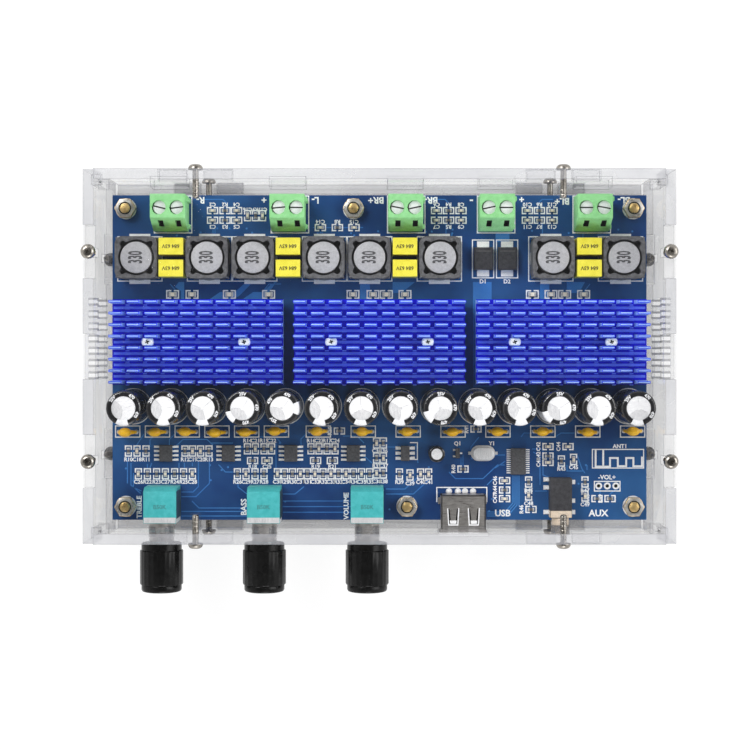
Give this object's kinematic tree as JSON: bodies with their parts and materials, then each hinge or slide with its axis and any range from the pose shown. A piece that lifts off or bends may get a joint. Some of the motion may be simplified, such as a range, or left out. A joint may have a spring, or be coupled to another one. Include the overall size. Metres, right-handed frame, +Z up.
{
  "type": "audio amplifier board",
  "caption": "Cased audio amplifier board with sawn-fin heatsinks, shielded coils and capacitor rows under a clear slotted case, with turning tone and volume knobs",
  "frame": {"origin": "middle of the front panel's lower edge, on the surface that the case stands on", "axes": "+X to the right seen from the knobs, +Y from the knobs to the wire terminals, +Z up"},
  "size_m": [0.1672, 0.1224, 0.045],
  "materials": {
    "clear_acrylic": "clear polished sheet with laser-cut edges",
    "blue_board": "deep blue solder mask, small parts soldered on",
    "blue_anodised": "blue anodised",
    "brass": "turned brass",
    "tin": "tin plated",
    "ferrite": "dark grey pressed ferrite",
    "terminal_green": "light green moulding",
    "sleeve_black": "black shrink sleeve over an aluminium can",
    "chip_black": "black moulding",
    "pot_teal": "turquoise moulding in a tin-plated frame",
    "knob_black": "glossy black"
  },
  "bodies": {
    "case": {"base_plate": "clear_acrylic", "top_cover": "clear_acrylic", "front_panel": "clear_acrylic", "back_panel": "clear_acrylic", "left_wall": "clear_acrylic", "right_wall": "clear_acrylic", "circuit_board": "blue_board", "amplifier_chip_left": "chip_black", "heatsink_left": "blue_anodised", "amplifier_chip_middle": "chip_black", "heatsink_middle": "blue_anodised", "amplifier_chip_right": "chip_black", "heatsink_right": "blue_anodised", "inductor_1": "ferrite", "inductor_2": "ferrite", "inductor_3": "ferrite", "inductor_4": "ferrite", "inductor_5": "ferrite", "inductor_6": "ferrite", "inductor_7": "ferrite", "inductor_8": "ferrite", "capacitor_1": "sleeve_black", "capacitor_2": "sleeve_black", "capacitor_3": "sleeve_black", "capacitor_4": "sleeve_black", "capacitor_5": "sleeve_black", "capacitor_6": "sleeve_black", "capacitor_7": "sleeve_black", "capacitor_8": "sleeve_black", "capacitor_9": "sleeve_black", "capacitor_10": "sleeve_black", "capacitor_11": "sleeve_black", "capacitor_12": "sleeve_black", "capacitor_13": "sleeve_black", "capacitor_14": "sleeve_black", "terminal_right": "terminal_green", "terminal_left": "terminal_green", "terminal_bass_right": "terminal_green", "terminal_power": "terminal_green", "terminal_bass_left": "terminal_green", "standoff_1": "brass", "standoff_2": "brass", "standoff_3": "brass", "standoff_4": "brass", "standoff_5": "brass", "standoff_6": "brass", "potentiometer_treble": "pot_teal", "potentiometer_bass": "pot_teal", "potentiometer_volume": "pot_teal", "usb_socket": "tin", "aux_jack": "chip_black"},
    "treble_control": {"shaft_treble": "tin", "knob_treble": "knob_black"},
    "bass_control": {"shaft_bass": "tin", "knob_bass": "knob_black"},
    "volume_control": {"shaft_volume": "tin", "knob_volume": "knob_black"}
  },
  "joints": [
    {"name": "treble_turn", "type": "hinge", "parent": "case", "child": "treble_control", "pos_m": [-0.0636, -0.0015, 0.0218], "axis": [0, 1, 0], "range_deg": [-150, 150]},
    {"name": "bass_turn", "type": "hinge", "parent": "case", "child": "bass_control", "pos_m": [-0.0336, -0.0015, 0.0218], "axis": [0, 1, 0], "range_deg": [-150, 150]},
    {"name": "volume_turn", "type": "hinge", "parent": "case", "child": "volume_control", "pos_m": [-0.0036, -0.0015, 0.0218], "axis": [0, 1, 0], "range_deg": [-150, 150]}
  ]
}
